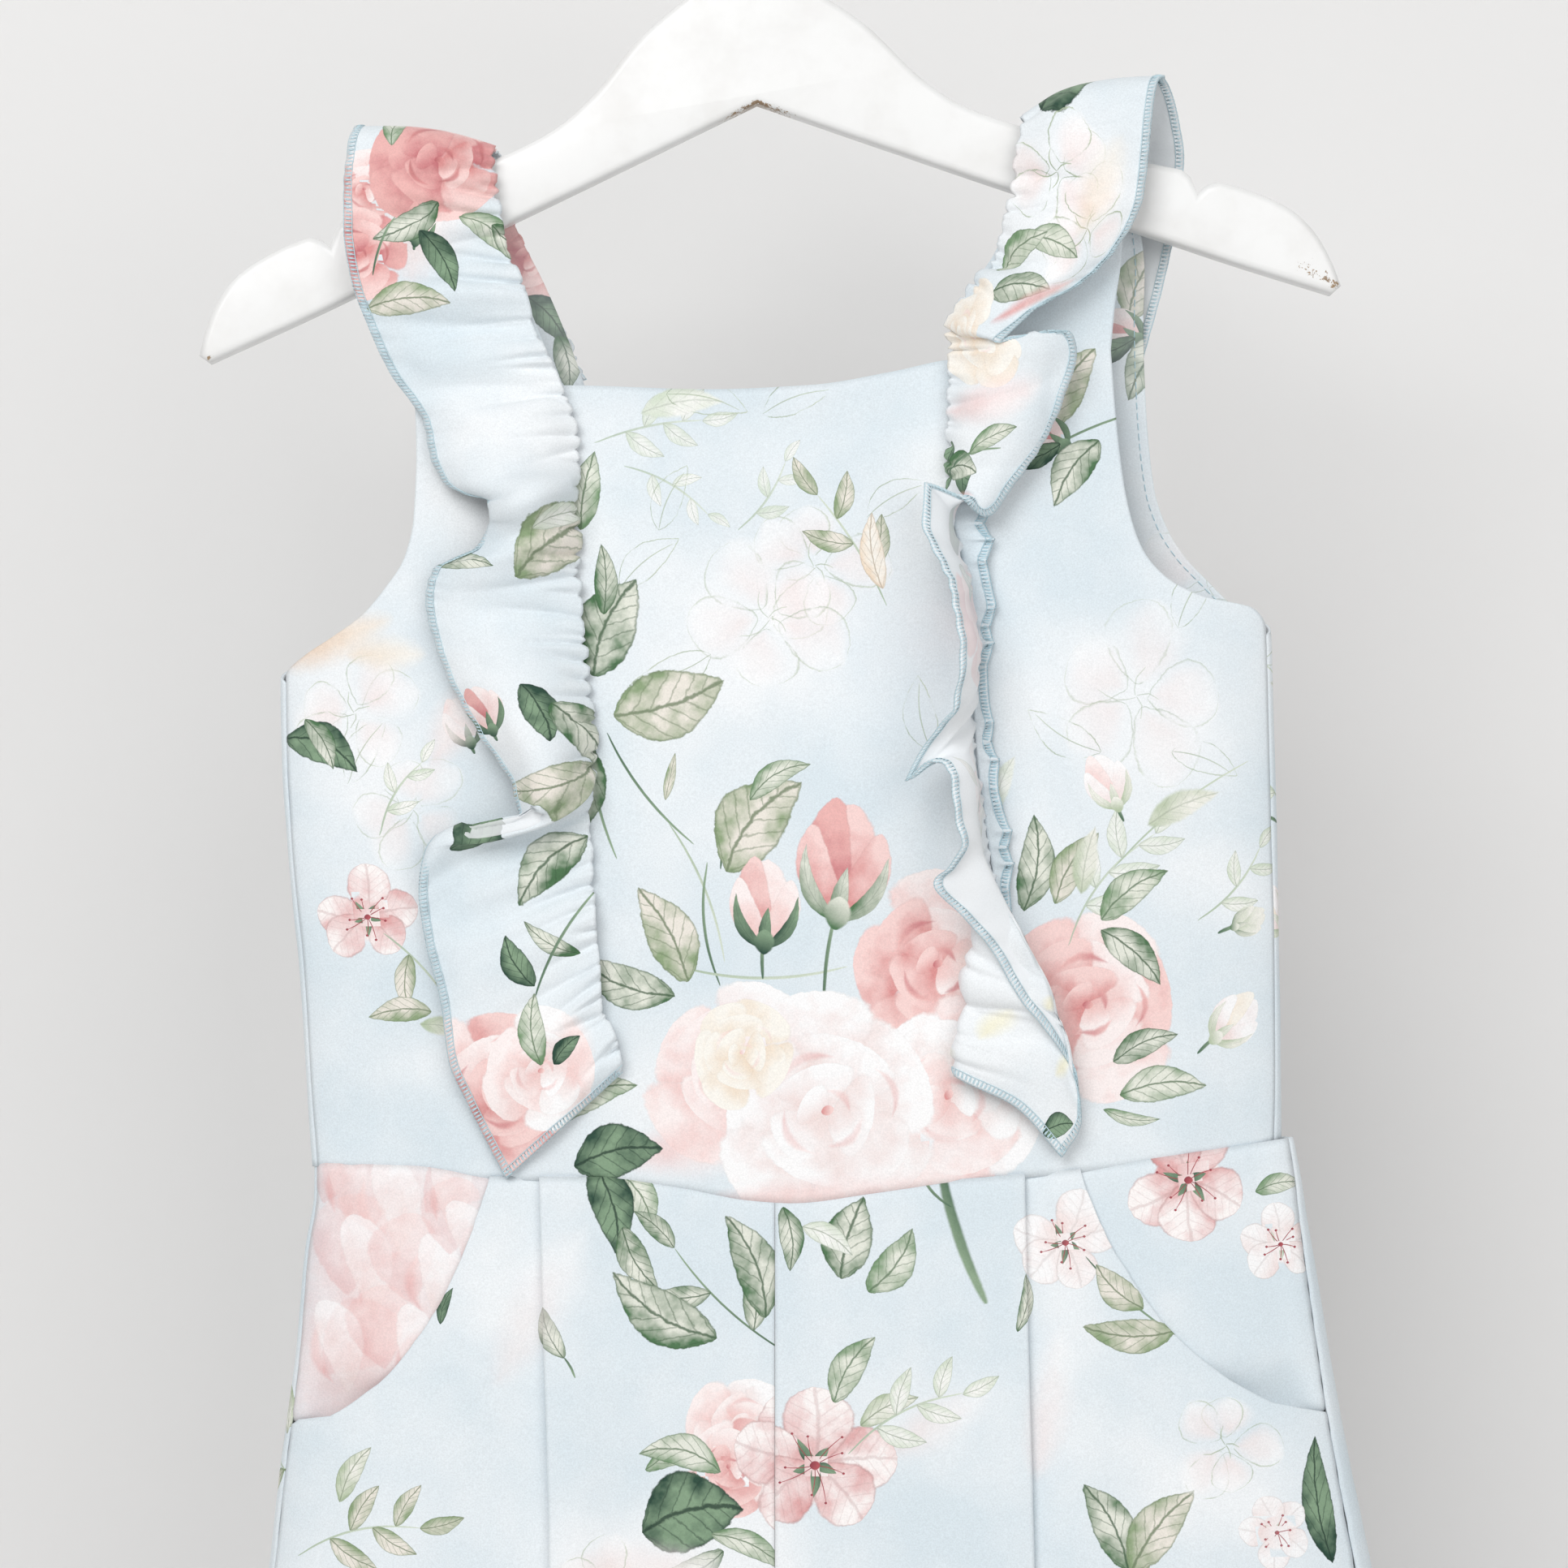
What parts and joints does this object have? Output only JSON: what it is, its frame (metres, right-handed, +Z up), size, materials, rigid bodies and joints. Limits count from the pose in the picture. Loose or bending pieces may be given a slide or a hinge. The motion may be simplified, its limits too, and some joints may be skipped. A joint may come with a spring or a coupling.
{
  "type": "romper on a hanger",
  "caption": "Child's sleeveless short romper with gathered shoulder ruffles, pleated front and curved hip pockets, hung on a plain wooden hanger.",
  "frame": {"origin": "the bearing point of the hook, under the top of its wire, where it rests on a rail", "axes": "+Z up, +X to the viewer's right, -Y out of the garment's front"},
  "size_m": [0.4002, 0.07, 0.7385],
  "materials": {
    "printed_crepe": "light blue crepe with a soft watercolour flower print",
    "white_paint": "white satin paint on wood",
    "steel_wire": "bright plated wire"
  },
  "bodies": {
    "root": {"hanger_bar": "white_paint", "hanger_hook": "steel_wire", "bodice_front": "printed_crepe", "bodice_back_left": "printed_crepe", "bodice_back_right": "printed_crepe", "leg_front_left": "printed_crepe", "leg_front_right": "printed_crepe", "leg_back_left": "printed_crepe", "leg_back_right": "printed_crepe", "pocket_facing_left": "printed_crepe", "pocket_facing_right": "printed_crepe", "ruffle_left": "printed_crepe", "ruffle_right": "printed_crepe"}
  },
  "joints": []
}
